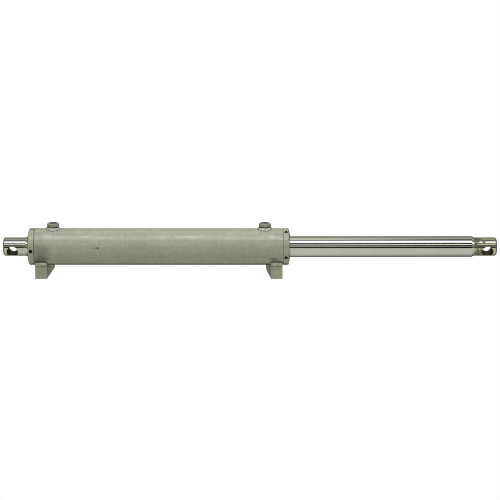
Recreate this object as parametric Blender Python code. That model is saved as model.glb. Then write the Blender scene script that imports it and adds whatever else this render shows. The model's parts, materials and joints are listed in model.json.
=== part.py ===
"""Double-rod hydraulic cylinder with a threaded gland at each end and two welded feet.

Blender units are metres, +Z up. X runs along the rod, Y = 0 is the symmetry plane and
Z = 0 is the plane that the feet rest on. The rod stands at the right-hand end of its
stroke, so its middle is over the origin and the barrel's middle is half a stroke to
the left. Dimensions below are in millimetres. Places along the barrel are measured
from the barrel's middle, and places along the rod and the piston from the rod's middle.
Left is -X and right is +X.
"""

import math

import bmesh
import bpy
from mathutils import Matrix

MM = 0.001
TAU = math.tau
SIDES = (("left", -1), ("right", 1))
UPRIGHT = Matrix.Rotation(-TAU / 4, 4, "Y")  # turns a shape made along X to point up

# ---- driving dimensions -----------------------------------------------------------
FIT_GAP = 0.3  # left between faces that touch on the real cylinder
STROKE = 398.0
AXIS_HEIGHT = 67.5  # rod axis above the base of the feet

TUBE_R = 40.0
BORE_R = 32.5
TUBE_HALF = 271.0
THREAD_R = 35.0  # M70 gland thread, drawn plain
THREAD_DEPTH = 19.0
OIL_HOLE_R = 4.5

ROD_R = 22.5
ROD_HALF = 539.0
STUB_R = 20.0
STUB_LENGTH = 49.2
SHOULDER = 5.2  # length of the cone between rod and stub
END_CHAMFER = 3.0
PIN_R = 12.5
PIN_FROM_END = 20.0
PIN_ROLL = math.radians(17.0)  # the cross holes lean this far from level
PIN_DROP = 4.2  # and pass this far below the rod's axis

PISTON_R = 32.3
PISTON_HALF = 22.0
PISTON_BORE_R = ROD_R + FIT_GAP
COUNTERBORE_R = 26.3
COUNTERBORE_DEPTH = 4.5
SEAL_GROOVE = (4.0, 26.5)  # half width, bottom radius
WEAR_GROOVE = (6.5, 16.5, 29.8)  # from, to, bottom radius
STATIC_GROOVE = (8.3, 12.0, 25.2)  # from, to, bottom radius
SNAP_GROOVE = (3.6, 20.5)  # width, bottom radius
SNAP_RING = (3.0, 20.8, 25.6)  # width, inner and outer radius
SNAP_RING_SWEEP = math.radians(310.0)
SNAP_RING_SEGMENTS = 28
STATIC_RING = (23.85, 1.5, 1.15)  # middle radius, half width, half height
SEAL_RING_RADII = (29.6, 32.35)
ENERGIZER = (28.05, 2.6, 1.3)  # middle radius, half width, half height
WEAR_RING_RADII = (30.1, 32.35)

GLAND_R = TUBE_R
GLAND_BORE_R = 22.7
NOSE_R = 28.0
NOSE = STROKE / 2 + PISTON_HALF + FIT_GAP  # the piston stops here
LAND_R = BORE_R - FIT_GAP
LAND_START = 243.0
LAND_GROOVE = (244.5, 250.8, 29.5)
BUSH_SEAT = (224.0, 244.0, 25.0)
SEAL_SEAT = (252.0, 261.0, 27.5)
WIPER_SEAT = (275.2, 282.2, 27.5)
GLAND_MOUTH_R = 25.5
GLAND_FACE = 286.4
GLAND_CROWN = (284.4, 36.5)
GLAND_EDGE = 282.8
SPANNER_AT = 277.8
SPANNER_R = 3.25
SPANNER_FLOOR_R = 32.0
SPANNER_FIRST = {"left": -6.0, "right": -27.0}  # degrees up from the front
SPANNER_COUNT = 4

BEARING = (224.3, 243.7, 22.75, 24.8)  # from, to, inner and outer radius
BACKUP_RING = (248.6, 250.4, 29.8, 32.2)
GLAND_O_RING = (246.6, 31.0, 1.6, 1.2)  # along, middle radius, half width, half height
ROD_SEAL = [
    (260.6, 22.9),
    (260.6, 27.2),
    (252.6, 27.2),
    (252.6, 26.2),
    (256.2, 25.0),
    (252.6, 23.8),
    (252.6, 22.75),
]
ROD_WIPER = [
    (275.6, 22.9),
    (275.6, 27.2),
    (281.8, 27.2),
    (281.8, 25.2),
    (286.1, 24.4),
    (287.0, 22.8),
]

PORT_AT = 231.5
PORT_FACE = 52.6  # above the rod axis
PORT_R = 7.5
PORT_CHAMFER = 0.85
BOSS_R = 13.2
BOSS_CHAMFER = 2.2
BOSS_NECK_R = 12.0
BOSS_LEDGE = 44.0  # height where the boss widens from its neck
BOSS_FLARE_R = 17.0
BOSS_BOTTOM = 30.0  # inside the tube, before the saddle is cut

FOOT_INNER = 244.0
FOOT_OUTER = 270.0
FOOT_HALF_WIDTH = 25.0
RIB_INNER = {"left": 230.5, "right": 234.2}  # where each rib ends, towards the middle
RIB_HALF_WIDTH = 15.0
RIB_KNEE = -48.0  # height of the rib's corner from the rod axis
RIB_START = -66.0
RIB_OVERLAP = 6.0
RIB_DROP = 1.0  # its top stays this far below the block's
FOOT_TOP = -38.0  # flat, with a shallow saddle that the tube lies in
TAP_R = 5.1
TAP_DEPTH = 16.0
TAP_SPACING = 26.0

OUTER_SEGMENTS = 40
INNER_SEGMENTS = 32
HOLE_SEGMENTS = 20
O_RING_SIDES = 6
SHARP_ANGLE = math.radians(30.0)
MERGE_DISTANCE = 0.001
OVERSHOOT = 5.0  # how far a cutter reaches past what it cuts

# ---- finishes: colour, roughness, metallic ----------------------------------------
PAINT = ((0.323, 0.337, 0.254), 0.45, 0.0)
CHROME = ((0.72, 0.72, 0.69), 0.12, 1.0)
IRON = ((0.20, 0.20, 0.20), 0.45, 1.0)
SPRING_STEEL = ((0.10, 0.10, 0.11), 0.40, 1.0)
BRONZE = ((0.45, 0.30, 0.14), 0.40, 1.0)
PTFE = ((0.21, 0.15, 0.09), 0.40, 0.0)
PHENOLIC = ((0.30, 0.19, 0.08), 0.60, 0.0)
RUBBER = ((0.02, 0.02, 0.02), 0.70, 0.0)
POLYURETHANE = ((0.05, 0.09, 0.16), 0.45, 0.0)


def clear_scene():
    for item in list(bpy.data.objects):
        bpy.data.objects.remove(item, do_unlink=True)


def empty(name, x):
    """A guide on the rod axis that a group of pieces is parented to."""
    guide = bpy.data.objects.new(name, None)
    guide.location = (x * MM, 0, AXIS_HEIGHT * MM)
    bpy.context.scene.collection.objects.link(guide)
    return guide


def add_material(piece, finish):
    colour, roughness, metallic = finish
    material = bpy.data.materials.new(piece.name)
    material.use_nodes = True
    shader = material.node_tree.nodes["Principled BSDF"]
    shader.inputs["Base Color"].default_value = (*colour, 1)
    shader.inputs["Roughness"].default_value = roughness
    shader.inputs["Metallic"].default_value = metallic
    piece.data.materials.append(material)


def add_object(name, shape, parent, finish=None):
    """Turns a bmesh into an object. One with no finish is a tool for a Boolean."""
    bmesh.ops.recalc_face_normals(shape, faces=shape.faces)
    mesh = bpy.data.meshes.new(name)
    shape.to_mesh(mesh)
    shape.free()
    mesh.shade_smooth()
    mesh.set_sharp_from_angle(angle=SHARP_ANGLE)
    piece = bpy.data.objects.new(name, mesh)
    piece.parent = parent
    bpy.context.scene.collection.objects.link(piece)
    if finish:
        add_material(piece, finish)
    else:
        piece.hide_render = True
        piece.display_type = "WIRE"
    return piece


def combine(piece, tool, operation="DIFFERENCE"):
    boolean = piece.modifiers.new(tool.name, "BOOLEAN")
    boolean.operation = operation
    boolean.object = tool


def turned(outline, segments, sweep=TAU):
    """Spins (along, radius) points about X. An outline that starts on the axis is solid
    and ends on the axis too, and any other is a closed loop, which makes a ring."""
    shape = bmesh.new()
    points = [shape.verts.new((along * MM, 0, radius * MM)) for along, radius in outline]
    geometry = list(points)
    geometry += [shape.edges.new(pair) for pair in zip(points, points[1:])]
    if outline[0][1] > 0:
        geometry.append(shape.edges.new((points[-1], points[0])))
    if sweep < TAU:
        geometry.append(shape.faces.new(points))
    bmesh.ops.spin(
        shape,
        geom=geometry,
        cent=(0, 0, 0),
        axis=(1, 0, 0),
        angle=sweep,
        steps=segments,
        use_merge=sweep == TAU,
    )
    bmesh.ops.remove_doubles(shape, verts=shape.verts, dist=MERGE_DISTANCE * MM)
    return shape


def pointed(shape, matrix):
    """Turns a shape made along X to another direction or moves it."""
    bmesh.ops.transform(shape, matrix=matrix, verts=shape.verts)
    return shape


def prism(outline, half_width):
    """An (along, height) outline drawn out to half_width on both sides of Y = 0."""
    shape = bmesh.new()
    front = [shape.verts.new((x * MM, -half_width * MM, z * MM)) for x, z in outline]
    face = shape.faces.new(front)
    swept = bmesh.ops.extrude_face_region(shape, geom=[face])
    moved = [item for item in swept["geom"] if isinstance(item, bmesh.types.BMVert)]
    bmesh.ops.translate(shape, verts=moved, vec=(0, 2 * half_width * MM, 0))
    return shape


def drill(start, end, radius):
    """A plain round cutter along X."""
    outline = [(start, 0), (start, radius), (end, radius), (end, 0)]
    return turned(outline, HOLE_SEGMENTS)


def mirrored(half):
    """Completes an outline that starts beside its middle, going outwards."""
    return [(-along, radius) for along, radius in reversed(half)] + half


def on_side(outline, side):
    return [(side * along, radius) for along, radius in outline]


def groove(start, end, bottom, surface):
    return [(start, surface), (start, bottom), (end, bottom), (end, surface)]


def rectangle(start, end, inner, outer):
    return [(start, inner), (start, outer), (end, outer), (end, inner)]


def round_section(along, radius, half_width, half_height):
    """The cross-section of an O-ring, as an ellipse of a few sides."""
    steps = [TAU * (step + 0.5) / O_RING_SIDES for step in range(O_RING_SIDES)]
    reach = 1 / math.cos(math.pi / O_RING_SIDES)
    return [
        (along + half_width * reach * math.cos(a), radius + half_height * math.sin(a))
        for a in steps
    ]


def barrel_tube(parent):
    half = [
        (TUBE_HALF - THREAD_DEPTH, BORE_R),
        (TUBE_HALF - THREAD_DEPTH, THREAD_R),
        (TUBE_HALF, THREAD_R),
        (TUBE_HALF, TUBE_R),
    ]
    tube = add_object("barrel_tube", turned(mirrored(half), OUTER_SEGMENTS), parent, PAINT)
    for name, side in SIDES:
        hole = pointed(drill(0, TUBE_R + OVERSHOOT, OIL_HOLE_R), UPRIGHT)
        cutter = add_object(f"{name}_oil_hole_cutter", hole, parent)
        cutter.location.x = side * PORT_AT * MM
        combine(tube, cutter)


def saddle_cutter(name, parent, side, start, end):
    """Shapes the foot of a welded piece to the tube, with the fit gap."""
    radius = TUBE_R + FIT_GAP
    outline = [(start, 0), (start, radius), (end, radius), (end, 0)]
    shape = turned(on_side(outline, side), OUTER_SEGMENTS)
    return add_object(f"{name}_saddle_cutter", shape, parent)


def port_boss(name, side, parent):
    outline = [
        (BOSS_BOTTOM, PORT_R),
        (PORT_FACE - PORT_CHAMFER, PORT_R),
        (PORT_FACE, PORT_R + PORT_CHAMFER),
        (PORT_FACE, BOSS_R - BOSS_CHAMFER),
        (PORT_FACE - BOSS_CHAMFER, BOSS_R),
        (BOSS_LEDGE + BOSS_R - BOSS_NECK_R, BOSS_R),
        (BOSS_LEDGE, BOSS_NECK_R),
        (TUBE_R + FIT_GAP, BOSS_FLARE_R),
        (BOSS_BOTTOM, BOSS_FLARE_R),
    ]
    shape = pointed(turned(outline, INNER_SEGMENTS), UPRIGHT)
    boss = add_object(f"{name}_port_boss", shape, parent, PAINT)
    boss.location.x = side * PORT_AT * MM
    reach = BOSS_FLARE_R + OVERSHOOT
    cutter = saddle_cutter(boss.name, parent, side, PORT_AT - reach, PORT_AT + reach)
    combine(boss, cutter)


def mounting_foot(name, side, parent):
    base = -AXIS_HEIGHT
    rib_end = RIB_INNER[name]
    block = [
        (FOOT_INNER, base),
        (FOOT_OUTER, base),
        (FOOT_OUTER, FOOT_TOP),
        (FOOT_INNER, FOOT_TOP),
    ]
    slope = (FOOT_INNER - rib_end) / (RIB_KNEE - base)
    rib = [
        (FOOT_INNER - (RIB_START - base) * slope, RIB_START),
        (FOOT_INNER + RIB_OVERLAP, RIB_START),
        (FOOT_INNER + RIB_OVERLAP, FOOT_TOP - RIB_DROP),
        (rib_end, FOOT_TOP - RIB_DROP),
        (rib_end, RIB_KNEE),
    ]
    shape = prism(on_side(block, side), FOOT_HALF_WIDTH)
    foot = add_object(f"{name}_mounting_foot", shape, parent, PAINT)
    shape = prism(on_side(rib, side), RIB_HALF_WIDTH)
    combine(foot, add_object(f"{name}_rib_tool", shape, parent), "UNION")
    ends = (rib_end - OVERSHOOT, FOOT_OUTER + OVERSHOOT)
    combine(foot, saddle_cutter(foot.name, parent, side, *ends))
    for count, across in enumerate((-TAP_SPACING / 2, TAP_SPACING / 2)):
        hole = pointed(drill(base - OVERSHOOT, base + TAP_DEPTH, TAP_R), UPRIGHT)
        cutter = add_object(f"{name}_tap_cutter_{count}", hole, parent)
        cutter.location.x = side * (FOOT_INNER + FOOT_OUTER) / 2 * MM
        cutter.location.y = across * MM
        combine(foot, cutter)


def gland(name, side, parent):
    outline = [
        (NOSE, GLAND_BORE_R),
        *groove(*BUSH_SEAT, GLAND_BORE_R),
        *groove(*SEAL_SEAT, GLAND_BORE_R),
        *groove(*WIPER_SEAT, GLAND_BORE_R)[:3],
        (WIPER_SEAT[1], GLAND_MOUTH_R),
        (GLAND_FACE, GLAND_MOUTH_R),
        GLAND_CROWN,
        (GLAND_EDGE, GLAND_R),
        (TUBE_HALF + FIT_GAP, GLAND_R),
        (TUBE_HALF + FIT_GAP, THREAD_R - FIT_GAP),
        (TUBE_HALF - THREAD_DEPTH + FIT_GAP, THREAD_R - FIT_GAP),
        (TUBE_HALF - THREAD_DEPTH + FIT_GAP, LAND_R),
        *groove(*LAND_GROOVE, LAND_R)[::-1],
        (LAND_START, LAND_R),
        (LAND_START, NOSE_R),
        (NOSE, NOSE_R),
    ]
    shape = turned(on_side(outline, side), OUTER_SEGMENTS)
    piece = add_object(f"{name}_gland", shape, parent, PAINT)
    for count in range(SPANNER_COUNT):
        angle = math.radians(SPANNER_FIRST[name]) + TAU * count / SPANNER_COUNT
        # +X swings to the front, then up by the hole's angle about X
        aim = Matrix.Rotation(-angle, 4, "X") @ Matrix.Rotation(-TAU / 4, 4, "Z")
        hole = pointed(drill(SPANNER_FLOOR_R, GLAND_R + OVERSHOOT, SPANNER_R), aim)
        cutter = add_object(f"{name}_spanner_cutter_{count}", hole, parent)
        cutter.location.x = side * SPANNER_AT * MM
        combine(piece, cutter)


def gland_rings(name, side, parent):
    """The bush, seals and wiper that the gland's grooves hold."""
    sections = {
        "rod_bearing": (rectangle(*BEARING), BRONZE),
        "rod_seal": (ROD_SEAL, POLYURETHANE),
        "rod_wiper": (ROD_WIPER, RUBBER),
        "gland_o_ring": (round_section(*GLAND_O_RING), RUBBER),
        "gland_backup_ring": (rectangle(*BACKUP_RING), PTFE),
    }
    for ring, (outline, finish) in sections.items():
        shape = turned(on_side(outline, side), INNER_SEGMENTS)
        add_object(f"{name}_{ring}", shape, parent, finish)


def rod(parent):
    snap_start = PISTON_HALF - COUNTERBORE_DEPTH
    snap_width, snap_bottom = SNAP_GROOVE
    stub_start = ROD_HALF - STUB_LENGTH
    half = [
        *groove(snap_start, snap_start + snap_width, snap_bottom, ROD_R),
        (stub_start - SHOULDER, ROD_R),
        (stub_start, STUB_R),
        (ROD_HALF - END_CHAMFER, STUB_R),
        (ROD_HALF, STUB_R - END_CHAMFER),
        (ROD_HALF, 0),
    ]
    piece = add_object("rod", turned(mirrored(half), OUTER_SEGMENTS), parent, CHROME)
    for name, side in SIDES:
        aim = Matrix.Rotation(PIN_ROLL, 4, "X") @ Matrix.Rotation(TAU / 4, 4, "Z")
        hole = pointed(drill(-STUB_R - OVERSHOOT, STUB_R + OVERSHOOT, PIN_R), aim)
        cutter = add_object(f"{name}_pin_cutter", hole, parent)
        cutter.location = (side * (ROD_HALF - PIN_FROM_END) * MM, 0, -PIN_DROP * MM)
        combine(piece, cutter)


def piston(parent):
    seal_half, seal_bottom = SEAL_GROOVE
    web = PISTON_HALF - COUNTERBORE_DEPTH
    half = [
        (seal_half, seal_bottom),
        (seal_half, PISTON_R),
        *groove(*WEAR_GROOVE, PISTON_R),
        (PISTON_HALF, PISTON_R),
        (PISTON_HALF, COUNTERBORE_R),
        (web, COUNTERBORE_R),
        (web, PISTON_BORE_R),
    ]
    outline = mirrored(half) + groove(*STATIC_GROOVE, PISTON_BORE_R)[::-1]
    add_object("piston", turned(outline, INNER_SEGMENTS), parent, IRON)


def piston_fittings(parent):
    """What holds and seals the piston on the rod."""
    start, end, _ = STATIC_GROOVE
    section = round_section((start + end) / 2, *STATIC_RING)
    add_object("piston_o_ring", turned(section, INNER_SEGMENTS), parent, RUBBER)
    ring_start = PISTON_HALF - COUNTERBORE_DEPTH + FIT_GAP
    width, inner, outer = SNAP_RING
    section = rectangle(ring_start, ring_start + width, inner, outer)
    for name, side in SIDES:
        shape = turned(on_side(section, side), SNAP_RING_SEGMENTS, SNAP_RING_SWEEP)
        add_object(f"{name}_piston_snap_ring", shape, parent, SPRING_STEEL)


def piston_rings(parent):
    """The rings that run on the bore."""
    seal_half, _ = SEAL_GROOVE
    section = rectangle(-seal_half + FIT_GAP, seal_half - FIT_GAP, *SEAL_RING_RADII)
    add_object("piston_seal_ring", turned(section, INNER_SEGMENTS), parent, PTFE)
    section = round_section(0, *ENERGIZER)
    add_object("piston_seal_energizer", turned(section, INNER_SEGMENTS), parent, RUBBER)
    start, end, _ = WEAR_GROOVE
    section = rectangle(start + FIT_GAP, end - FIT_GAP, *WEAR_RING_RADII)
    for name, side in SIDES:
        shape = turned(on_side(section, side), INNER_SEGMENTS)
        add_object(f"{name}_piston_wear_ring", shape, parent, PHENOLIC)


def main():
    clear_scene()
    barrel_guide = empty("barrel_guide", -STROKE / 2)
    rod_guide = empty("rod_guide", 0)
    barrel_tube(barrel_guide)
    for name, side in SIDES:
        port_boss(name, side, barrel_guide)
        mounting_foot(name, side, barrel_guide)
        gland(name, side, barrel_guide)
        gland_rings(name, side, barrel_guide)
    rod(rod_guide)
    piston(rod_guide)
    piston_fittings(rod_guide)
    piston_rings(rod_guide)


main()
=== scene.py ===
"""Looks of the double-rod hydraulic cylinder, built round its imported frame.

The frame's plain solids are replaced by smooth turned ones of the same size, with threads,
weld beads, rounded edges and procedural paint, chrome and rubber. Shapes are made in
millimetres round the rod's axis: X along the rod, Y to the back, Z up, and the origin at the
middle of the barrel or of the rod. add_piece puts them into the frame, which is in metres.
Left is -X and right is +X.
"""
import json
import math

import bmesh
import bpy
from mathutils import Matrix, Vector, noise


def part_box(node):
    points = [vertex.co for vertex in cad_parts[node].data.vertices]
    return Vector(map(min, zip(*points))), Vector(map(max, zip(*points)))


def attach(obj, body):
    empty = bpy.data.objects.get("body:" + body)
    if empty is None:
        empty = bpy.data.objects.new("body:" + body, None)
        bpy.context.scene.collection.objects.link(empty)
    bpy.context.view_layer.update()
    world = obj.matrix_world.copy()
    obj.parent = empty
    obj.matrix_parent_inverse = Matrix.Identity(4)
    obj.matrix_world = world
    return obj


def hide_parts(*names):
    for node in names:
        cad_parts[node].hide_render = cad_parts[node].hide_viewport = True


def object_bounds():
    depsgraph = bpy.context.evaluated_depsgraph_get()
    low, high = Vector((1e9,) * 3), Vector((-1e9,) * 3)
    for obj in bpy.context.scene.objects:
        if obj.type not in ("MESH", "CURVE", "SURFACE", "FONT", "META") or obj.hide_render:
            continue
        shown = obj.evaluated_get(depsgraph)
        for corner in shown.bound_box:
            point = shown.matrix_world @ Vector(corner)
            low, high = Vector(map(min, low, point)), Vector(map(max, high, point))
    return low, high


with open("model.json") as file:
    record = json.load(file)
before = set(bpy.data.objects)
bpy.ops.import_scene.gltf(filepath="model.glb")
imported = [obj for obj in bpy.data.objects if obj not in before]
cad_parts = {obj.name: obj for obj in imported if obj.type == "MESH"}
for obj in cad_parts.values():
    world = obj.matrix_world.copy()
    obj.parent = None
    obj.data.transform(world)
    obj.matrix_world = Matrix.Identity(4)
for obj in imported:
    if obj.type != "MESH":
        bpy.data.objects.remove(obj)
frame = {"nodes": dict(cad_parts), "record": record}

MM = 0.001
TAU = math.tau
SIDES = (("left", -1), ("right", 1))
UPRIGHT = Matrix.Rotation(-TAU / 4, 4, "Y")  # turns a shape made along X to point up

cad_low, cad_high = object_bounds()
joints = {joint["name"]: joint for joint in frame["record"]["behaviour"]["joints"]}
AXIS_Z = joints["rod_turn"]["pos_m"][2]


def span(node, axis):
    """A node's lowest and highest coordinate along one axis, in millimetres."""
    low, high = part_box(node)
    return low[axis] / MM, high[axis] / MM


# ---- sizes that the frame gives, in millimetres ---------------------------------------
BARREL_AT = sum(span("barrel_tube", 0)) / 2
TUBE_HALF = span("barrel_tube", 0)[1] - BARREL_AT
TUBE_R = span("barrel_tube", 1)[1]
GLAND_FACE = span("right_gland", 0)[1] - BARREL_AT
NOSE = span("right_gland", 0)[0] - BARREL_AT
ROD_HALF = span("rod", 0)[1]
ROD_R = span("rod", 1)[1]
PORT_AT = sum(span("right_port_boss", 0)) / 2 - BARREL_AT
PORT_FACE = span("right_port_boss", 2)[1] - AXIS_Z / MM
FOOT_BASE = -AXIS_Z / MM
FOOT_OUTER = span("right_mounting_foot", 0)[1] - BARREL_AT
RIB_INNER = {
    "left": BARREL_AT - span("left_mounting_foot", 0)[1],
    "right": span("right_mounting_foot", 0)[0] - BARREL_AT,
}
FOOT_HALF_WIDTH = span("right_mounting_foot", 1)[1]

# ---- sizes inside the nodes, as in the CAD, in millimetres ----------------------------
BORE_R = 32.5
THREAD_R = 35.0
THREAD_DEPTH = 19.0
OIL_HOLE_R = 4.5
# where the tube's plain faces are divided
TUBE_RINGS = (20.0, 60.0, PORT_AT - 40.0, PORT_AT - 12.0, PORT_AT + 12.0)
STUB_R = 20.0
STUB_START = 489.8
SHOULDER = 5.2
END_CHAMFER = 3.0
ROD_RINGS = (60.0, STUB_START + 8.0)  # where its plain faces are divided
PIN_R = 12.5
PIN_AT = 519.0
PIN_ROLL = math.radians(17.0)
PIN_DROP = 4.2
SNAP_GROOVE = (17.5, 21.1, 20.5)  # from, to, bottom radius

GLAND_BORE_R = 22.7
NOSE_R = 28.0
LAND_R = 32.2
LAND_START = 243.0
LAND_GROOVE = (244.5, 250.8, 29.5)
BUSH_SEAT = (224.0, 244.0, 25.0)
SEAL_SEAT = (252.0, 261.0, 27.5)
WIPER_SEAT = (275.2, 282.2, 27.5)
GLAND_MOUTH_R = 25.5
GLAND_CROWN = (284.4, 36.5)
GLAND_EDGE = 282.8
SEAM = 0.3
SEAM_REACH = 0.4  # how far past a seam its grime shows
SPANNER_AT = 277.8
SPANNER_R = 3.25
SPANNER_FLOOR_R = 32.0
SPANNER_TIP = 1.6  # how deep the drill's point goes below the floor
SPANNER_FLARE = (0.4, 2.0, 0.8)  # from below the rim to above it, and how much wider there
SPANNER_FIRST = {"left": -6.0, "right": -27.0}  # degrees up from the front
SPANNER_COUNT = 4
WIPER_LIP = (
    (275.6, 22.9),
    (275.6, 27.2),
    (281.8, 27.2, 0.3),
    (281.8, 25.2, 0.3),
    (286.1, 24.4, 0.4),
    (287.0, 22.8, 0.15),
)

PORT_R = 7.5
PORT_THREAD = (0.75, 1.337)  # depth and pitch
PORT_THREAD_FROM = TUBE_R + 1.5
PORT_MOUTH = {"left": 2.6, "right": 1.1}  # how wide the chamfer of its mouth is
BOSS_R = 13.2
BOSS_CHAMFER = 2.2
BOSS_NECK_R = 12.0
BOSS_LEDGE = 44.0
BOSS_BOTTOM = 30.0
PORT_WELD_R = 17.0

FOOT_INNER = 244.0
RIB_HALF_WIDTH = 15.0
RIB_KNEE = -48.0
RIB_START = -66.0
RIB_OVERLAP = 6.0
FOOT_TOP = -38.0
FOOT_EDGE = 0.9  # how far its edges are rounded
TAP_R = 5.1
TAP_THREAD = (0.9, 1.75)  # depth and pitch
TAP_THREAD_STOP = 2.5  # how far from the full depth its thread ends
TAP_MOUTH = 1.2  # how deep the chamfer of its mouth is
TAP_FLARE = 6.2  # how much wider than the tap its cutter is, PAST below the foot
TAP_DEPTH = 16.0
TAP_TIP = 2.8  # how deep the drill's point goes below that
TAP_SPACING = 26.0

# ---- how finely things are drawn ------------------------------------------------------
ROUND_STEPS = 192
SMALL_ROUND_STEPS = 96
BORE_STEPS = 64
FILLET_STEPS = 4
SHARP_ANGLE = math.radians(34)
PAST = 5.0  # how far a cutter reaches past what it cuts


# ---- shape helpers --------------------------------------------------------------------
def rounded(corners):
    """Rounds each (along, radius, fillet) corner of an outline. Plain corners stay sharp."""
    points = []
    for index, corner in enumerate(corners):
        here = Vector(corner[:2])
        if len(corner) == 2:
            points.append(tuple(here))
            continue
        before = (Vector(corners[index - 1][:2]) - here).normalized()
        after = (Vector(corners[(index + 1) % len(corners)][:2]) - here).normalized()
        back = corner[2] / math.tan(before.angle(after) / 2)
        for step in range(FILLET_STEPS + 1):
            share = step / FILLET_STEPS
            points.append(tuple(here + back * ((1 - share) ** 2 * before + share**2 * after)))
    return points


def mirrored(half):
    """Completes an outline that starts beside its middle, going outwards."""
    return [(-point[0], *point[1:]) for point in reversed(half)] + half


def on_side(outline, side):
    """An outline for the right side, or mirrored for the left."""
    return [(side * point[0], *point[1:]) for point in outline]


def groove(start, end, bottom, surface):
    """The corners of a square groove in a face of this radius."""
    return [(start, surface), (start, bottom), (end, bottom), (end, surface)]


def thread(start, end, inner, depth, pitch):
    """An inside thread, drawn as rings, from start to end along the axis."""
    points = []
    count = round(abs(end - start) / pitch)
    step = (end - start) / count
    for turn in range(count):
        foot = start + turn * step
        points += [
            (foot + 0.06 * step, inner),
            (foot + 0.44 * step, inner + depth),
            (foot + 0.56 * step, inner + depth),
            (foot + 0.94 * step, inner),
        ]
    return points


def turned(outline, steps=ROUND_STEPS):
    """Spins (along, radius) points about X. An outline that starts on the axis is solid and
    ends on the axis too, and any other is a closed loop, which makes a ring."""
    shape = bmesh.new()
    rings = []
    for along, radius in outline:
        count = steps if radius > 0 else 1
        angles = [TAU * step / steps for step in range(count)]
        rings.append(
            [shape.verts.new((along, -radius * math.sin(a), radius * math.cos(a))) for a in angles]
        )
    pairs = list(zip(rings, rings[1:]))
    if outline[0][1] > 0:
        pairs.append((rings[-1], rings[0]))
    for near, far in pairs:
        for step in range(steps):
            following = (step + 1) % steps
            corners = (
                near[step % len(near)],
                near[following % len(near)],
                far[following % len(far)],
                far[step % len(far)],
            )
            shape.faces.new(list(dict.fromkeys(corners)))
    bmesh.ops.recalc_face_normals(shape, faces=shape.faces)
    return shape


def pointed(shape, matrix):
    """Turns or moves a shape."""
    bmesh.ops.transform(shape, matrix=matrix, verts=shape.verts)
    return shape


def prism(outline, half_width):
    """An (along, height) outline drawn out to half_width on both sides of Y = 0."""
    shape = bmesh.new()
    front = [shape.verts.new((x, -half_width, z)) for x, z in outline]
    swept = bmesh.ops.extrude_face_region(shape, geom=[shape.faces.new(front)])
    moved = [item for item in swept["geom"] if isinstance(item, bmesh.types.BMVert)]
    bmesh.ops.translate(shape, verts=moved, vec=(0, 2 * half_width, 0))
    bmesh.ops.recalc_face_normals(shape, faces=shape.faces)
    return shape


def scratch(shape):
    """A bmesh as a hidden object, for a Boolean."""
    mesh = bpy.data.meshes.new("scratch")
    shape.to_mesh(mesh)
    shape.free()
    item = bpy.data.objects.new("scratch", mesh)
    bpy.context.scene.collection.objects.link(item)
    return item


def combined(shape, tools, operation="DIFFERENCE"):
    """Cuts the tools from a closed shape, or joins them to it."""
    items = [scratch(shape)] + [scratch(tool) for tool in tools]
    for tool in items[1:]:
        boolean = items[0].modifiers.new("boolean", "BOOLEAN")
        boolean.operation = operation
        boolean.solver = "EXACT"
        boolean.object = tool
    result = bmesh.new()
    result.from_object(items[0], bpy.context.evaluated_depsgraph_get())
    for item in items:
        bpy.data.meshes.remove(item.data)
    return result


def softened(shape, width, steps=3):
    """Rounds every sharp edge of a shape."""
    sharp = [edge for edge in shape.edges if edge.calc_face_angle(0) > SHARP_ANGLE]
    bmesh.ops.bevel(
        shape,
        geom=sharp,
        offset=width,
        offset_type="OFFSET",
        affect="EDGES",
        segments=steps,
        profile=0.5,
        clamp_overlap=True,
    )
    return shape


def add_piece(name, shape, materials, body, replaces=(), middle=BARREL_AT, choose=None):
    """Puts a shape into the frame as a finished piece. choose(face) picks its material."""
    if choose:
        for face in shape.faces:
            face.material_index = choose(face)
    place = Matrix.Translation((middle * MM, 0, AXIS_Z)) @ Matrix.Scale(MM, 4)
    bmesh.ops.transform(shape, matrix=place, verts=shape.verts)
    mesh = bpy.data.meshes.new(name)
    shape.to_mesh(mesh)
    shape.free()
    mesh.shade_smooth()
    mesh.set_sharp_from_angle(angle=SHARP_ANGLE)
    for material in materials:
        mesh.materials.append(material)
    piece = bpy.data.objects.new(name, mesh)
    bpy.context.scene.collection.objects.link(piece)
    weighted = piece.modifiers.new("weighted_normals", "WEIGHTED_NORMAL")
    weighted.keep_sharp = True
    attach(piece, body)
    if replaces:
        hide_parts(*replaces)
    return piece


# ---- material helpers -----------------------------------------------------------------
def add_node(tree, kind, inputs=(), **settings):
    """A node with its inputs given by name or number, as sockets or as values."""
    node = tree.nodes.new(kind)
    for key, value in settings.items():
        setattr(node, key, value)
    for key, value in dict(inputs).items():
        if isinstance(value, bpy.types.NodeSocket):
            tree.links.new(value, node.inputs[key])
        else:
            node.inputs[key].default_value = value
    return node


def maths(tree, operation, *values):
    inputs = dict(enumerate(values))
    return add_node(tree, "ShaderNodeMath", inputs, operation=operation).outputs[0]


def new_material(name, roughness, metallic=0.0):
    material = bpy.data.materials.new(name)
    material.use_nodes = True
    shader = material.node_tree.nodes["Principled BSDF"]
    shader.inputs["Roughness"].default_value = roughness
    shader.inputs["Metallic"].default_value = metallic
    return material, material.node_tree, shader


def surface_place(tree, stretch=(1, 1, 1)):
    """Where a point is on its object, stretched along X, Y or Z."""
    place = add_node(tree, "ShaderNodeTexCoord").outputs["Object"]
    mapping = add_node(tree, "ShaderNodeMapping", {"Vector": place, "Scale": stretch})
    return mapping.outputs[0]


def cloud(tree, size, detail=3.0, stretch=(1, 1, 1)):
    """Soft noise from 0 to 1 with features of about this many millimetres."""
    inputs = {
        "Vector": surface_place(tree, stretch),
        "Scale": 1 / (size * MM),
        "Detail": detail,
        "Roughness": 0.55,
    }
    return add_node(tree, "ShaderNodeTexNoise", inputs).outputs[0]


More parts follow.
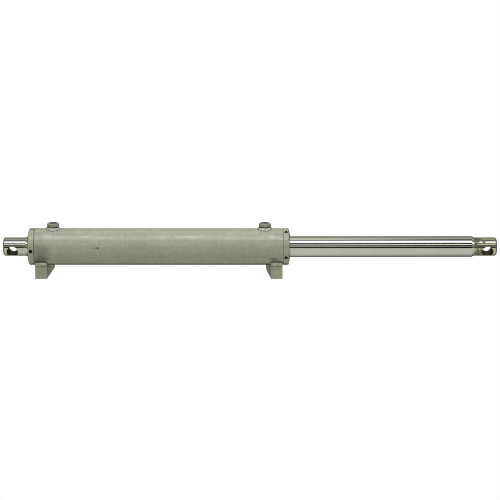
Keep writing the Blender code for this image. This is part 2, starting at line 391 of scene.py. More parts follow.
def specks(tree, size, share, radius):
    """1 in small dots, in this share of the cells of this size, and 0 between them."""
    inputs = {"Vector": surface_place(tree), "Scale": 1 / (size * MM)}
    cells = add_node(tree, "ShaderNodeTexVoronoi", inputs)
    inside = between(tree, cells.outputs["Distance"], radius, radius * 0.6)
    colour = add_node(tree, "ShaderNodeSeparateColor", {0: cells.outputs["Color"]})
    chosen = maths(tree, "LESS_THAN", colour.outputs[0], share)
    return maths(tree, "MULTIPLY", inside, chosen)


def between(tree, value, zero_at, one_at, low=0.0, high=1.0):
    """Maps a value smoothly from zero_at..one_at to low..high."""
    inputs = {0: value, 1: zero_at, 2: one_at, 3: low, 4: high}
    node = add_node(tree, "ShaderNodeMapRange", inputs, interpolation_type="SMOOTHSTEP")
    return node.outputs[0]


def tinted(tree, colour, factor, other, mode="MIX"):
    """Mixes another colour over a colour by a factor. Both may be sockets."""
    node = add_node(tree, "ShaderNodeMix", data_type="RGBA", blend_type=mode)
    for index, value in ((0, factor), (6, colour), (7, other)):
        if isinstance(value, bpy.types.NodeSocket):
            tree.links.new(value, node.inputs[index])
        elif index == 0:
            node.inputs[index].default_value = value
        else:
            node.inputs[index].default_value = (*value, 1)
    return node.outputs[2]


def shaded(tree, colour, value, spread):
    """Makes a colour lighter and darker by the spread, as the value runs from 0 to 1."""
    level = between(tree, value, 0.25, 0.75, 1 - spread, 1 + spread)
    grey = add_node(tree, "ShaderNodeCombineColor", {0: level, 1: level, 2: level}).outputs[0]
    return tinted(tree, colour, 1.0, grey, "MULTIPLY")


def bumped(tree, shader, *layers):
    """Adds (height, depth in millimetres) layers of relief."""
    normal = None
    for height, depth in layers:
        inputs = {"Height": height, "Distance": depth * MM, "Strength": 1.0}
        if normal:
            inputs["Normal"] = normal
        normal = add_node(tree, "ShaderNodeBump", inputs).outputs[0]
    tree.links.new(normal, shader.inputs["Normal"])


def spot(tree, centre, reach, soft=0.5):
    """1 in an ellipsoid round a point on the object, fading to 0 at its edge. In metres."""
    place = add_node(tree, "ShaderNodeTexCoord").outputs["Object"]
    offset = add_node(tree, "ShaderNodeVectorMath", {0: place, 1: centre}, operation="SUBTRACT")
    scaled = add_node(
        tree, "ShaderNodeVectorMath", {0: offset.outputs[0], 1: reach}, operation="DIVIDE"
    )
    length = add_node(tree, "ShaderNodeVectorMath", {0: scaled.outputs[0]}, operation="LENGTH")
    return between(tree, length.outputs["Value"], 1.0, soft)


def on_tube(along, elevation, radius=None):
    """A point of the barrel's surface in metres, at an angle in degrees up from the front."""
    radius = radius or TUBE_R
    angle = math.radians(elevation)
    return (
        (BARREL_AT + along) * MM,
        -radius * math.cos(angle) * MM,
        AXIS_Z + radius * math.sin(angle) * MM,
    )


# ---- materials ------------------------------------------------------------------------
CHROME_LEVEL = 0.55  # how much of the light chrome reflects
PAINT_COLOUR = (0.300, 0.305, 0.235)
CHIP_COLOUR = (0.09, 0.09, 0.07)
MARK_COLOUR = (0.05, 0.052, 0.035)
PAINTED_SHADE_COLOUR = (0.03, 0.031, 0.02)
PAINTED_HIGHLIGHT_COLOUR = (0.48, 0.49, 0.43)
SPATTER_COLOUR = (0.07, 0.07, 0.05)
BARE_BEAD_COLOUR = (0.52, 0.52, 0.46)
BORE_COLOUR = (0.10, 0.085, 0.06)
RUST_COLOUR = (0.2, 0.16, 0.1)
# dark marks on the barrel: along, degrees up from the front, half length, half height, depth
BARREL_MARKS = (
    (-131.7, 4.5, 3.6, 3.0, 1.0),
    (-138.0, 4.5, 4.5, 1.0, 0.6),
    (-89.0, -23.0, 2.0, 2.6, 0.5),
    (-190.0, 93.0, 3.5, 5.0, 1.0),
    (-157.0, -29.0, 12.0, 0.5, 0.35),
    (-110.0, -34.0, 12.0, 0.5, 0.3),
    (236.0, -2.0, 13.0, 0.5, 0.35),
    (221.0, 21.0, 10.0, 0.5, 0.25),
    (184.0, 72.0, 1.6, 2.0, 0.5),
    (215.0, -48.0, 1.5, 2.0, 0.45),
    (-183.0, -34.0, 9.0, 0.8, 0.2),
    (-237.0, 15.0, 14.0, 0.5, 0.25),
)
GLAND_MARKS = ((-278.5, 7.5, 1.8, 1.8, 0.8), (-283.0, 13.0, 1.0, 2.6, 0.5))
# painted shade on the tube: a broad darkening over its left end, where less light falls, and
# darker patches just above the feet
PAINTED_SHADE_SPOTS = (
    (-264.0, -10.0, 42.0, 46.0, 0.30),
    (-256.0, -34.0, 27.0, 14.0, 1.0),
    (-252.0, -8.0, 26.0, 20.0, 0.35),
    (252.0, -35.0, 20.0, 10.0, 0.85),
)
# painted highlights: patches in the band where the highlight falls, painted lighter, where the
# enamel is also smoother
SMOOTH_AND_HIGHLIGHT_PATCHES = (
    (-243.0, 43.0, 20.0, 5.5),
    (-160.0, 42.0, 15.0, 4.5),
    (-215.0, 42.0, 24.0, 4.0),
    (248.0, 42.0, 22.0, 6.0),
    (70.0, 43.0, 60.0, 4.0),
)


def paint(name, roughness, marks, shade_spots=(), patches=(), depth=1.0):
    """Sage enamel: mottled, a little orange-peeled, with specks, scratches, painted shade and
    painted highlights. A depth below 1 darkens all of it as painted shade.
    """
    material, tree, shader = new_material(name, roughness)
    shader.inputs["Coat Weight"].default_value = 1.0
    shader.inputs["Coat Roughness"].default_value = 0.19
    shade = tuple(channel * depth for channel in PAINT_COLOUR)
    colour = shaded(tree, shade, cloud(tree, 60), 0.05)
    colour = shaded(tree, colour, cloud(tree, 9, 4), 0.07)
    colour = shaded(tree, colour, cloud(tree, 1.3, 2), 0.09)
    colour = shaded(tree, colour, cloud(tree, 3, 3, stretch=(1, 0.06, 0.06)), 0.04)
    streaks = cloud(tree, 2.5, 3, stretch=(0.08, 1, 1))
    colour = shaded(tree, colour, streaks, 0.03)
    chips = specks(tree, 16, 0.10, 0.05)
    colour = tinted(tree, colour, chips, CHIP_COLOUR)
    gloss = cloud(tree, 34, 2)
    rough = between(tree, gloss, 0.3, 0.7, roughness + 0.07, roughness - 0.05)
    colour, rough = wear_and_painted_light(tree, colour, rough, marks, shade_spots, patches)
    tree.links.new(colour, shader.inputs["Base Color"])
    tree.links.new(rough, shader.inputs["Roughness"])
    bumped(tree, shader, (cloud(tree, 2.6, 2), 0.05), (cloud(tree, 14, 1), 0.12))
    return material


def wear_and_painted_light(tree, colour, rough, marks, shade_spots, patches):
    """Adds dark marks, patches of painted shade, and painted highlights that are also smoother, at
    their places on the barrel.
    """
    for along, up, half_length, half_height, depth in marks:
        reach = (half_length * MM, half_height * MM, half_height * MM)
        mark = maths(tree, "MULTIPLY", spot(tree, on_tube(along, up), reach), depth)
        colour = tinted(tree, colour, mark, MARK_COLOUR)
    # painted shade: these patches darken the paint
    for along, up, half_length, half_height, depth in shade_spots:
        reach = (half_length * MM, half_height * MM, half_height * MM)
        painted_shade = maths(tree, "MULTIPLY", spot(tree, on_tube(along, up), reach, 0.0), depth)
        patchy = maths(tree, "MULTIPLY", painted_shade, between(tree, cloud(tree, 5), 0.2, 0.6, 0.6, 1))
        colour = tinted(tree, colour, patchy, PAINTED_SHADE_COLOUR)
    # painted highlight: the colour is lightened here; the lower roughness is the enamel's own
    for along, up, half_length, half_height in patches:
        reach = (half_length * MM, half_height * MM, half_height * MM)
        rubbed_and_highlight = spot(tree, on_tube(along, up), reach, 0.0)
        patchy = maths(tree, "MULTIPLY", rubbed_and_highlight, between(tree, cloud(tree, 5), 0.3, 0.6, 0.1, 0.6))
        colour = tinted(tree, colour, patchy, PAINTED_HIGHLIGHT_COLOUR)
        rough = maths(tree, "MULTIPLY_ADD", rubbed_and_highlight, -0.2, rough)
    return colour, rough


def weld_paint(name, rubbed_share):
    """Thick glossy enamel over a weld bead, rubbed through to bright steel in places."""
    material, tree, shader = new_material(name, 0.22)
    shader.inputs["Specular IOR Level"].default_value = 1.0
    shader.inputs["Coat Weight"].default_value = 1.0
    shader.inputs["Coat Roughness"].default_value = 0.14
    colour = shaded(tree, PAINT_COLOUR, cloud(tree, 3, 3), 0.15)
    colour = tinted(tree, colour, specks(tree, 5, 0.15, 0.12), SPATTER_COLOUR)
    rubbed_and_highlight = between(tree, cloud(tree, 4, 3), 0.78 - rubbed_share, 0.90 - rubbed_share)
    colour = tinted(tree, colour, rubbed_and_highlight, BARE_BEAD_COLOUR)
    tree.links.new(colour, shader.inputs["Base Color"])
    tree.links.new(maths(tree, "MULTIPLY", rubbed_and_highlight, 0.7), shader.inputs["Metallic"])
    bumped(tree, shader, (cloud(tree, 1.6, 2), 0.12))
    return material


def chrome():
    """Ground hard chrome: fine rings left by the grinding wheel."""
    material, tree, shader = new_material("chrome", 0.06, 1.0)
    rings = cloud(tree, 0.8, 3, stretch=(1, 0.02, 0.02))
    colour = shaded(tree, (CHROME_LEVEL,) * 3, cloud(tree, 30, 3), 0.02)
    colour = shaded(tree, colour, rings, 0.02)
    tree.links.new(colour, shader.inputs["Base Color"])
    tree.links.new(between(tree, rings, 0.3, 0.7, 0.055, 0.075), shader.inputs["Roughness"])
    return material


def stub_steel(name, clean, stain, amount, clear_at, stained_at):
    """Turned steel with oily stains, from fewest at clear_at to most at stained_at along the
    rod. More of it is stained as the amount grows."""
    material, tree, shader = new_material(name, 0.16, 1.0)
    place = add_node(tree, "ShaderNodeTexCoord").outputs["Object"]
    along = add_node(tree, "ShaderNodeSeparateXYZ", {0: place}).outputs[0]
    patches = cloud(tree, 7, 5)
    edge = between(tree, along, clear_at * MM, stained_at * MM, 0.75 - amount, 0.5 - amount)
    spread = maths(tree, "SUBTRACT", patches, edge)
    mask = between(tree, spread, -0.04, 0.10)
    colour = shaded(tree, clean, cloud(tree, 1.2, 3, stretch=(1, 0.05, 0.05)), 0.06)
    dull = shaded(tree, stain, cloud(tree, 2.2, 4), 0.35)
    colour = tinted(tree, colour, mask, dull)
    tree.links.new(colour, shader.inputs["Base Color"])
    tree.links.new(between(tree, mask, 0, 1, 0.10, 0.30), shader.inputs["Roughness"])
    tree.links.new(between(tree, mask, 0, 1, 1.0, 0.8), shader.inputs["Metallic"])
    bumped(tree, shader, (cloud(tree, 1.5, 3), 0.03))
    return material


def rusty_bore():
    """The inside of a pin hole: dark oily steel with brown rust."""
    material, tree, shader = new_material("rusty_bore", 0.5, 0.6)
    colour = shaded(tree, BORE_COLOUR, cloud(tree, 4, 4), 0.5)
    colour = tinted(tree, colour, between(tree, cloud(tree, 6, 4), 0.5, 0.65), RUST_COLOUR)
    tree.links.new(colour, shader.inputs["Base Color"])
    bumped(tree, shader, (cloud(tree, 1.0, 3), 0.06))
    return material


def plain_finish(name, colour, roughness, metallic=0.0, grain=1.5, spread=0.12, gloss=0.5):
    """A turned or moulded part that mostly stays hidden: fine grain and light relief."""
    material, tree, shader = new_material(name, roughness, metallic)
    shader.inputs["Specular IOR Level"].default_value = gloss
    tint = shaded(tree, colour, cloud(tree, grain, 4), spread)
    tint = shaded(tree, tint, cloud(tree, 12, 2), spread / 2)
    tree.links.new(tint, shader.inputs["Base Color"])
    bumped(tree, shader, (cloud(tree, grain, 3, stretch=(1, 0.1, 0.1)), 0.01))
    return material


# ---- the barrel -----------------------------------------------------------------------
def cylinder_tool(start, end, radius, steps=BORE_STEPS):
    """A plain round cutter along X."""
    return turned([(start, 0), (start, radius), (end, radius), (end, 0)], steps)


def barrel_tube(enamel):
    """The tube with its threaded ends and an oil hole under each port."""
    inside = [(along, BORE_R) for along in TUBE_RINGS]
    inside += [
        (TUBE_HALF - THREAD_DEPTH, BORE_R),
        (TUBE_HALF - THREAD_DEPTH, THREAD_R),
        (TUBE_HALF, THREAD_R),
    ]
    outside = [(along, TUBE_R) for along in TUBE_RINGS] + [(TUBE_HALF, TUBE_R, 0.7)]
    shape = turned(rounded(mirrored(inside) + mirrored(outside)[::-1]))
    holes = []
    for _, side in SIDES:
        drill = pointed(cylinder_tool(0, TUBE_R + PAST, OIL_HOLE_R), UPRIGHT)
        holes.append(pointed(drill, Matrix.Translation((side * PORT_AT, 0, 0))))
    add_piece("tube", combined(shape, holes), [enamel], "barrel", ["barrel_tube"])


def gland(name, side, enamel, grime_and_shade):
    """The screwed gland: turned, with blind pin-spanner holes round its rim."""
    outline = [
        (NOSE, GLAND_BORE_R),
        *groove(*BUSH_SEAT, GLAND_BORE_R),
        *groove(*SEAL_SEAT, GLAND_BORE_R),
        *groove(*WIPER_SEAT, GLAND_BORE_R)[:3],
        (WIPER_SEAT[1], GLAND_MOUTH_R),
        (GLAND_FACE, GLAND_MOUTH_R, 0.3),
        (*GLAND_CROWN, 1.2),
        (GLAND_EDGE, TUBE_R, 0.5),
        (TUBE_HALF + SEAM, TUBE_R, 0.7),
        (TUBE_HALF + SEAM, THREAD_R - SEAM),
        (TUBE_HALF - THREAD_DEPTH + SEAM, THREAD_R - SEAM),
        (TUBE_HALF - THREAD_DEPTH + SEAM, LAND_R),
        *groove(*LAND_GROOVE, LAND_R)[::-1],
        (LAND_START, LAND_R, 0.4),
        (LAND_START, NOSE_R),
        (NOSE, NOSE_R, 0.5),
    ]
    tools = []
    aims = []
    middle = Vector((side * SPANNER_AT, 0, 0))
    below, above, widening = SPANNER_FLARE
    for count in range(SPANNER_COUNT):
        angle = math.radians(SPANNER_FIRST[name]) + TAU * count / SPANNER_COUNT
        # +X swings to the front, then up by the hole's angle about X
        aim = Matrix.Rotation(-angle, 4, "X") @ Matrix.Rotation(-TAU / 4, 4, "Z")
        aims.append(aim @ Vector((1, 0, 0)))
        drill = [
            (SPANNER_FLOOR_R - SPANNER_TIP, 0),
            (SPANNER_FLOOR_R, SPANNER_R),
            (TUBE_R - below, SPANNER_R),
            (TUBE_R + above, SPANNER_R + widening),
            (TUBE_R + above, 0),
        ]
        hole = pointed(turned(drill, BORE_STEPS), aim)
        tools.append(pointed(hole, Matrix.Translation(middle)))
    shape = combined(turned(rounded(on_side(outline, side))), tools)

    def choose(face):
        place = face.calc_center_median()
        at_seam = side * place.x < TUBE_HALF + SEAM + SEAM_REACH
        if at_seam and place.yz.length < TUBE_R - 0.1:
            return 1
        # painted shade: the insides of the spanner holes take the near-black finish
        offset = place - middle
        for aim in aims:
            depth = offset.dot(aim)
            if depth > SPANNER_FLOOR_R - 2 and (offset - depth * aim).length < SPANNER_R + 0.05:
                return 1
        return 0

    materials = [enamel, grime_and_shade]
    nodes = [f"{name}_gland"]
    add_piece(
        f"{name}_gland_ring", shape, materials, "barrel", nodes, choose=choose
    )


def port_boss(name, side, enamel, grime_and_shade):
    """The oil port: a threaded bore with a chamfered mouth, necked above its weld."""
    mouth = PORT_MOUTH[name]
    outline = [
        (BOSS_BOTTOM, PORT_R),
        *thread(PORT_THREAD_FROM, PORT_FACE - mouth, PORT_R, *PORT_THREAD),
        (PORT_FACE - mouth, PORT_R),
        (PORT_FACE, PORT_R + mouth),
        (PORT_FACE, BOSS_R - BOSS_CHAMFER, 0.5),
        (PORT_FACE - BOSS_CHAMFER, BOSS_R, 0.8),
        (BOSS_LEDGE + BOSS_R - BOSS_NECK_R, BOSS_R, 0.4),
        (BOSS_LEDGE, BOSS_NECK_R),
        (BOSS_BOTTOM, BOSS_NECK_R),
    ]
    upright = Matrix.Translation((side * PORT_AT, 0, 0)) @ UPRIGHT
    shape = pointed(turned(rounded(outline), SMALL_ROUND_STEPS), upright)
    reach = BOSS_R + PAST
    saddle = cylinder_tool(-reach, reach, TUBE_R, ROUND_STEPS)
    saddle = pointed(saddle, Matrix.Translation((side * PORT_AT, 0, 0)))
    shape = combined(shape, [saddle])

    def choose(face):
        # painted shade: the port's bore and mouth take the near-black finish
        place = face.calc_center_median()
        return int(math.hypot(place.x - side * PORT_AT, place.y) < PORT_R + mouth * 0.8)

    nodes = [f"{name}_port_boss"]
    materials = [enamel, grime_and_shade]
    add_piece(f"{name}_port", shape, materials, "barrel", nodes, choose=choose)


def mounting_foot(name, side, enamel):
    """A block with a sloping rib, saddled to the tube and tapped from below."""
    rib_end = RIB_INNER[name]
    block = [
        (FOOT_INNER, FOOT_BASE),
        (FOOT_OUTER, FOOT_BASE),
        (FOOT_OUTER, FOOT_TOP),
        (FOOT_INNER, FOOT_TOP),
    ]
    slope = (FOOT_INNER - rib_end) / (RIB_KNEE - FOOT_BASE)
    rib = [
        (FOOT_INNER - (RIB_START - FOOT_BASE) * slope, RIB_START),
        (FOOT_INNER + RIB_OVERLAP, RIB_START),
        (FOOT_INNER + RIB_OVERLAP, FOOT_TOP - 1),
        (rib_end, FOOT_TOP - 1),
        (rib_end, RIB_KNEE),
    ]
    shape = prism(on_side(block, side), FOOT_HALF_WIDTH)
    shape = combined(shape, [prism(on_side(rib, side), RIB_HALF_WIDTH)], "UNION")
    shape = softened(shape, FOOT_EDGE)
    saddle = (side * (rib_end - PAST), side * (FOOT_OUTER + PAST))
    tools = [cylinder_tool(*saddle, TUBE_R, ROUND_STEPS)]
    thread_end = FOOT_BASE + TAP_DEPTH - TAP_THREAD_STOP
    for across in (-TAP_SPACING / 2, TAP_SPACING / 2):
        bore = [
            (FOOT_BASE - PAST, 0),
            (FOOT_BASE - PAST, TAP_R + TAP_FLARE),
            (FOOT_BASE + TAP_MOUTH, TAP_R),
            *thread(FOOT_BASE + TAP_MOUTH, thread_end, TAP_R, *TAP_THREAD),
            (FOOT_BASE + TAP_DEPTH, TAP_R),
            (FOOT_BASE + TAP_DEPTH + TAP_TIP, 0),
        ]
        middle = Matrix.Translation((side * (FOOT_INNER + FOOT_OUTER) / 2, across, 0))
        tools.append(pointed(turned(bore, BORE_STEPS), middle @ UPRIGHT))
    shape = combined(shape, tools)
    nodes = [f"{name}_mounting_foot"]
    add_piece(f"{name}_foot", shape, [enamel], "barrel", nodes)


# ---- weld beads -----------------------------------------------------------------------
BEAD_POINTS = 12
BEAD_FACE = range(2, BEAD_POINTS - 4)  # its clean strips, between the dark ones at its toes, which are soot and painted crevice shade
BEAD_SUNK = 0.5  # how far its edges lie inside the metal
ROOT_DEPTH = 2.0  # how far under the tube's surface its section closes
PORT_BEAD_STEPS = 240
FOOT_BEAD_STEP = 0.7
FOOT_BEAD = 4.0  # how wide it is along the sides of a foot
FOOT_BEAD_END = 0.5  # and at the rib's inner end
FOOT_BEAD_GAP = 0.6  # and how far it stays from the gland
FOOT_BEAD_LOW = -40.0  # its lower toe's height at the foot's sides
FOOT_BEAD_SAG = 3.2  # how much lower that is in the middle


def weld_bead(name, stations, materials, bulge, ripple, pitch):
    """A rippled bead along a closed path. Each station is a lower toe, an upper toe, the
    point inside the metal that closes the section and how full the bead is there."""
    shape = bmesh.new()
    rings = []
    along = 0.0
    for index, (low, high, root, fullness) in enumerate(stations):
        across = high - low
        outward = (low + high) / 2 - root
        outward -= across * (outward.dot(across) / across.length_squared)
        outward.normalize()
        along += (low - stations[index - 1][0] + high - stations[index - 1][1]).length / 2
        ring = []
        for step in range(BEAD_POINTS):
            share = step / (BEAD_POINTS - 1)
            dome = math.sin(math.pi * share)
            point = low + across * share
            wave = abs(math.sin(math.pi * (along / pitch - 0.45 * dome)))
            rough = noise.noise(point * 0.35) * 0.55 + noise.noise(point * 0.9) * 0.25
            lift = dome * fullness * (bulge + ripple * (wave - 0.6) + ripple * rough)
            ring.append(shape.verts.new(point + outward * lift))
        ring.append(shape.verts.new(root))
        rings.append(ring)
    count = BEAD_POINTS + 1
    for near, far in zip(rings, rings[1:] + rings[:1]):
        for step in range(count):
            following = (step + 1) % count
            face = shape.faces.new((near[step], near[following], far[following], far[step]))
            # dark strips at the toes: soot and painted crevice shade
            face.material_index = int(step not in BEAD_FACE)
    bmesh.ops.recalc_face_normals(shape, faces=shape.faces)
    add_piece(name, shape, materials, "barrel")


def tube_height(across, radius):
    """How far a point of the tube lies above or below its axis, at a distance across it."""
    return math.sqrt(max(radius**2 - across**2, 0))


def port_weld(name, side, materials):
    """The bead round a port boss, from the tube up to the boss's neck."""
    stations = []
    for step in range(PORT_BEAD_STEPS):
        angle = TAU * step / PORT_BEAD_STEPS
        out = Vector((math.cos(angle), math.sin(angle), 0))
        middle = Vector((side * PORT_AT, 0, 0))
        wander = 1 + 0.035 * noise.noise(out * 2.5 + middle)
        low = middle + out * PORT_WELD_R * wander
        low.z = tube_height(low.y, TUBE_R - BEAD_SUNK)
        high = middle + out * (BOSS_NECK_R - BEAD_SUNK / 2)
        high.z = BOSS_LEDGE + 0.3 + 0.25 * noise.noise(out * 3)
        root = middle + out * (BOSS_NECK_R - 1.5)
        root.z = tube_height(root.y, TUBE_R - ROOT_DEPTH)
        stations.append((low, high, root, 1.0))
    weld_bead(f"{name}_port_weld", stations, materials, bulge=0.55, ripple=0.55, pitch=3.1)


def rounded_path(corners, spacing):
    """A closed (x, y) path through corners (x, y, fillet), as (point, outward normal)."""
    outline = [Vector(point) for point in rounded(corners)]
    path = []
    for start, end in zip(outline, outline[1:] + outline[:1]):
        count = max(1, round((end - start).length / spacing))
        path += [start.lerp(end, step / count) for step in range(count)]
    result = []
    for index, point in enumerate(path):
        tangent = path[(index + 1) % len(path)] - path[index - 1]
        result.append((point, Vector((tangent.y, -tangent.x)).normalized()))
    return result


def foot_weld(name, side, materials):
    """The bead round the top of a foot: thick on its sides, thin by the gland's seam and at
    the rib's inner end."""
    wide, narrow = FOOT_HALF_WIDTH, RIB_HALF_WIDTH
    corners = [
        (FOOT_OUTER, -wide, 1.5),
        (FOOT_OUTER, wide, 1.5),
        (FOOT_INNER, wide, 1.5),
        (FOOT_INNER, narrow, 5.0),
        (RIB_INNER[name], narrow, 1.5),
        (RIB_INNER[name], -narrow, 1.5),
        (FOOT_INNER, -narrow, 5.0),
        (FOOT_INNER, -wide, 1.5),
    ]
    seam_leg = TUBE_HALF - FOOT_OUTER - FOOT_BEAD_GAP
    stations = []
    for point, out in rounded_path(corners, FOOT_BEAD_STEP):
        leg = FOOT_BEAD + (FOOT_BEAD_END - FOOT_BEAD) * math.sqrt(max(-out.x, 0))
        leg += (seam_leg - leg) * max(out.x, 0)
        fullness = leg / FOOT_BEAD
        leg *= 1 + 0.08 * noise.noise(Vector((point.x, point.y, 0)) * 0.2)
        height = FOOT_BEAD_LOW - FOOT_BEAD_SAG * (1 - (point.y / wide) ** 2)
        low = Vector((*(point - out * BEAD_SUNK), height))
        across = point.y + out.y * leg
        high = Vector((point.x + out.x * leg, across, -tube_height(across, TUBE_R - BEAD_SUNK)))
        inner = point - out * 3.0
        root = Vector((*inner, -tube_height(inner.y, TUBE_R - ROOT_DEPTH)))
        for corner in (low, high, root):
            corner.x *= side
        stations.append((low, high, root, fullness))
    weld_bead(f"{name}_foot_weld", stations, materials, bulge=1.5, ripple=0.6, pitch=3.6)


# ---- the rod --------------------------------------------------------------------------
def rod(chromed, left_steel, right_steel, bore):
    """The through rod, with turned-down stubs and cross holes at both ends."""
    half = [
        *groove(*SNAP_GROOVE, ROD_R),
        (ROD_RINGS[0], ROD_R),
        (STUB_START - SHOULDER, ROD_R, 0.5),
        (STUB_START, STUB_R, 0.8),
        (ROD_RINGS[1], STUB_R),
        (ROD_HALF - END_CHAMFER, STUB_R, 0.8),
        (ROD_HALF, STUB_R - END_CHAMFER, 0.6),
        (ROD_HALF, 0),
    ]
    tools = []
    for _, side in SIDES:
        aim = Matrix.Rotation(PIN_ROLL, 4, "X") @ Matrix.Rotation(TAU / 4, 4, "Z")
        hole = pointed(cylinder_tool(-STUB_R - PAST, STUB_R + PAST, PIN_R, SMALL_ROUND_STEPS), aim)
        tools.append(pointed(hole, Matrix.Translation((side * PIN_AT, 0, -PIN_DROP))))
    shape = combined(turned(rounded(mirrored(half))), tools)
    axis = Vector((0, math.cos(PIN_ROLL), math.sin(PIN_ROLL)))

    def choose(face):
        middle = face.calc_center_median()
        side = math.copysign(1, middle.x)
        offset = middle - Vector((side * PIN_AT, 0, -PIN_DROP))
        if (offset - axis * offset.dot(axis)).length < PIN_R + 0.01:
            return 3
        if abs(middle.x) < STUB_START - SHOULDER / 8:
            return 0
        return 1 if side < 0 else 2

    materials = [chromed, left_steel, right_steel, bore]
    add_piece(
        "through_rod",
        shape,
        materials,
        "rod",
        ["rod"],
        middle=0.0,
        choose=choose,
    )


def rod_wiper(name, side, rubber):
    """The wiper's lip, which shows in the gland's mouth."""
    shape = turned(rounded(on_side(WIPER_LIP, side)), SMALL_ROUND_STEPS)
    add_piece(f"{name}_wiper_lip", shape, [rubber], "barrel", [f"{name}_rod_wiper"])


# ---- the studio -----------------------------------------------------------------------
WHITE = (1.0, 1.0, 1.0)
WARM = (1.0, 1.05, 0.83)
COOL = (1.0, 1.0, 1.14)
# panels round the object: from and to in degrees up from the front horizon, how bright the
# chrome shows them near the rod's middle and towards its ends, and their tint
SKY = (
    (-90, -8.5, 0.45, 0.42, WARM),
    (-8.5, 8.5, 0.02, 0.005, WARM),
    (8.5, 16.5, 0.36, 0.25, WARM),
    (16.5, 29.5, 0.18, 0.0, COOL),
    (29.5, 38.0, 0.37, 0.92, WARM),
    (38.0, 52.5, 0.06, 0.0, COOL),
    (52.5, 77.0, 1.20, 0.98, WHITE),
    (77.0, 91.0, 0.16, 0.24, COOL),
    (91.0, 106.5, 0.55, 0.08, WARM),
    (106.5, 125.0, 0.45, 0.34, WARM),
    (125.0, 150.5, 0.21, 0.20, WARM),
    (150.5, 190.0, 0.06, 0.02, WARM),
    (190.0, 238.5, 0.0, 0.04, WARM),
    (238.5, 270.0, 0.33, 0.22, WARM),
)
SIDE_WALLS = (0.16, 0.16, 0.15)
PANEL_EDGE = 1.2  # degrees over which a panel fades
# how far sideways a direction points, from 0 to 1: where the panels pass from their middle to
# their end brightness, and where the side walls take over
ENDS_FROM = (0.02, 0.105)
WALLS_FROM = (0.82, 0.92)
SOFTBOX_UP = 72.0  # degrees
SOFTBOX_AWAY = 2.5  # metres
SOFTBOX_SIZE = (2.0, 1.08)
SOFTBOX_RADIANCE = 7.0
FLOOR_ALBEDO = (0.60, 0.615, 0.545)
FLOOR_REACH = 3.0
CAMERA_UP = 10.0  # degrees
CAMERA_AWAY = 4.59
CAMERA_LENS = 150.85
AIM_DROP = 0.2 * MM
FILTER_WIDTH = 1.0  # pixels, where Blender's own is 1.5 and looks softer
FLOOR_GAP = 0.2 * MM  # below the feet


def panel_ramp(tree, turn, column):
    """The panels' light by direction, with their brightness from this column of SKY. The turn
    runs from 0, straight down, through the front horizon at a quarter."""
    ramp = add_node(tree, "ShaderNodeValToRGB", {0: turn})
    points = ramp.color_ramp.elements
    stops = []
    for panel in SKY:
        colour = [panel[column] / CHROME_LEVEL * tint for tint in panel[4]]
        stops += [(panel[0] + PANEL_EDGE / 2, colour), (panel[1] - PANEL_EDGE / 2, colour)]
    while len(points) < len(stops):
        points.new(0.5)
    for point, (degrees, colour) in zip(points, stops):
        point.position = (degrees + 90) / 360
        point.color = (*colour, 1)
    return ramp.outputs[0]


def studio_world():
    """Dark and bright panels along the object, which the chrome shows as stripes."""
    world = bpy.data.worlds.new("studio")
    bpy.context.scene.world = world
    world.use_nodes = True
    tree = world.node_tree
    tree.nodes.clear()
    direction = add_node(tree, "ShaderNodeTexCoord").outputs["Generated"]
    split = add_node(tree, "ShaderNodeSeparateXYZ", {0: direction})
    front = maths(tree, "MULTIPLY", split.outputs[1], -1.0)
    angle = maths(tree, "ARCTAN2", split.outputs[2], front)
    turn = maths(tree, "FRACT", maths(tree, "MULTIPLY_ADD", angle, 1 / TAU, 0.25))
    sideways = maths(tree, "ABSOLUTE", split.outputs[0])
    aside = between(tree, sideways, *ENDS_FROM)
    near, far = (panel_ramp(tree, turn, column) for column in (2, 3))
    colour = tinted(tree, near, aside, far)
    walls = between(tree, sideways, *WALLS_FROM)
    colour = tinted(tree, colour, walls, SIDE_WALLS)
    lit = add_node(tree, "ShaderNodeBackground", {0: colour}).outputs[0]
    shown = add_node(tree, "ShaderNodeBackground", {0: (*WHITE, 1)}).outputs[0]
    output = add_node(tree, "ShaderNodeOutputWorld")
    seen = add_node(tree, "ShaderNodeLightPath").outputs["Is Camera Ray"]
    mixed = add_node(tree, "ShaderNodeMixShader", {0: seen, 1: lit, 2: shown}).outputs[0]
    tree.links.new(mixed, output.inputs[0])


def floor():
    """A plain pale floor. It lights the object from below, and the camera looks through it to
    the white backdrop, so that the object can be seen from underneath too."""
    shape = bmesh.new()
    low = cad_low.z - FLOOR_GAP
    reach = FLOOR_REACH
    corners = ((-1, -1), (1, -1), (1, 1), (-1, 1))
    shape.faces.new([shape.verts.new((x * reach, y * reach, low)) for x, y in corners])
    mesh = bpy.data.meshes.new("floor")
    shape.to_mesh(mesh)
    shape.free()
    material, _, shader = new_material("floor", 0.9)
    shader.inputs["Base Color"].default_value = (*FLOOR_ALBEDO, 1)
    mesh.materials.append(material)
    plane = bpy.data.objects.new("floor", mesh)
    bpy.context.scene.collection.objects.link(plane)
    plane.visible_camera = False
    plane.visible_glossy = False  # the chrome shows the world's lower panels instead


def looking_at(item, aim, degrees_up, distance):
    """Stands a light or camera in front of a point, looking at it."""
    up = math.radians(degrees_up)
    item.location = aim + distance * Vector((0, -math.cos(up), math.sin(up)))
    item.rotation_euler = (aim - item.location).to_track_quat("-Z", "Y").to_euler()
    bpy.context.scene.collection.objects.link(item)


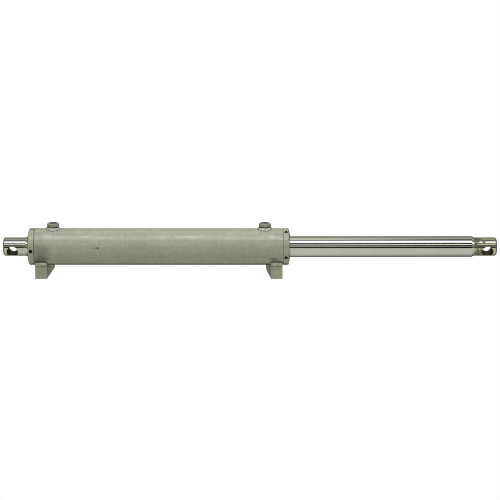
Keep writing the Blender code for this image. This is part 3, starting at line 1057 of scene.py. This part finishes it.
def softbox():
    light = bpy.data.lights.new("softbox", "AREA")
    light.shape = "RECTANGLE"
    light.size, light.size_y = SOFTBOX_SIZE
    light.energy = SOFTBOX_RADIANCE * math.pi * SOFTBOX_SIZE[0] * SOFTBOX_SIZE[1]
    holder = bpy.data.objects.new("softbox", light)
    holder.visible_camera = False
    holder.visible_glossy = False  # the chrome shows the world's own bright panel instead
    looking_at(holder, Vector((0, 0, AXIS_Z)), SOFTBOX_UP, SOFTBOX_AWAY)


def camera():
    view = bpy.data.cameras.new("camera")
    view.lens = CAMERA_LENS
    holder = bpy.data.objects.new("camera", view)
    aim = (cad_low + cad_high) / 2 - Vector((0, 0, AIM_DROP))
    looking_at(holder, aim, CAMERA_UP, CAMERA_AWAY)
    bpy.context.scene.camera = holder
    bpy.context.scene.view_settings.view_transform = "Standard"
    bpy.context.scene.cycles.filter_width = FILTER_WIDTH


# ---- everything -----------------------------------------------------------------------
def hidden_pieces(finishes):
    """The nodes that stay as they are get their own materials."""
    slots = {part["node"]: part["material_slot"] for part in frame["record"]["subparts"]}
    for name, node in frame["nodes"].items():
        if slots[name] not in finishes:
            continue
        node.data.materials.clear()
        node.data.materials.append(finishes[slots[name]])


def main():
    camera()
    studio_world()
    floor()
    softbox()
    enamel = paint("barrel_enamel", 0.54, BARREL_MARKS, PAINTED_SHADE_SPOTS, SMOOTH_AND_HIGHLIGHT_PATCHES)
    trim = paint("trim_enamel", 0.46, GLAND_MARKS)
    # painted shade: the ports' enamel is the same paint made darker
    port_shaded_enamel = paint("port_enamel_painted_shade", 0.46, (), depth=0.75)
    # the weld toes: soot, and painted shade in the crevices beside the beads
    toe = plain_finish("weld_toe_soot_and_shade", (0.05, 0.05, 0.035), 0.5)
    port_bead = weld_paint("port_weld_paint", 0.34)
    foot_bead = weld_paint("foot_weld_paint", 0.27)
    rubber = plain_finish("rubber", (0.02, 0.02, 0.021), 0.6)
    # painted shade: near-black in the spanner holes and the ports' bores; grime in the glands'
    # seams
    grime_and_shade = plain_finish("grimy_hole_and_painted_shade", (0.015, 0.015, 0.012), 0.8, gloss=0.1)
    hidden_pieces(
        {
            "ductile_iron": plain_finish("ductile_iron", (0.2, 0.2, 0.2), 0.45, 1.0),
            "spring_steel": plain_finish("spring_steel", (0.1, 0.1, 0.11), 0.4, 1.0),
            "bronze": plain_finish("bronze", (0.45, 0.3, 0.14), 0.4, 1.0),
            "ptfe": plain_finish("ptfe", (0.21, 0.15, 0.09), 0.4),
            "phenolic": plain_finish("phenolic", (0.3, 0.19, 0.08), 0.6, grain=0.8),
            "rubber": rubber,
            "polyurethane": plain_finish("polyurethane", (0.05, 0.09, 0.16), 0.45),
        }
    )
    barrel_tube(enamel)
    for name, side in SIDES:
        gland(name, side, trim, grime_and_shade)
        port_boss(name, side, port_shaded_enamel, grime_and_shade)
        mounting_foot(name, side, trim)
        port_weld(name, side, [port_bead, toe])
        foot_weld(name, side, [foot_bead, toe])
        rod_wiper(name, side, rubber)
    left_steel = stub_steel(
        "left_stub_steel",
        clean=(0.55, 0.545, 0.53),
        stain=(0.22, 0.18, 0.12),
        amount=-0.08,
        clear_at=-525,
        stained_at=-493,
    )
    right_steel = stub_steel(
        "right_stub_steel",
        clean=(0.53, 0.515, 0.43),
        stain=(0.17, 0.155, 0.095),
        amount=0.10,
        clear_at=530,
        stained_at=493,
    )
    rod(chrome(), left_steel, right_steel, rusty_bore())


main()
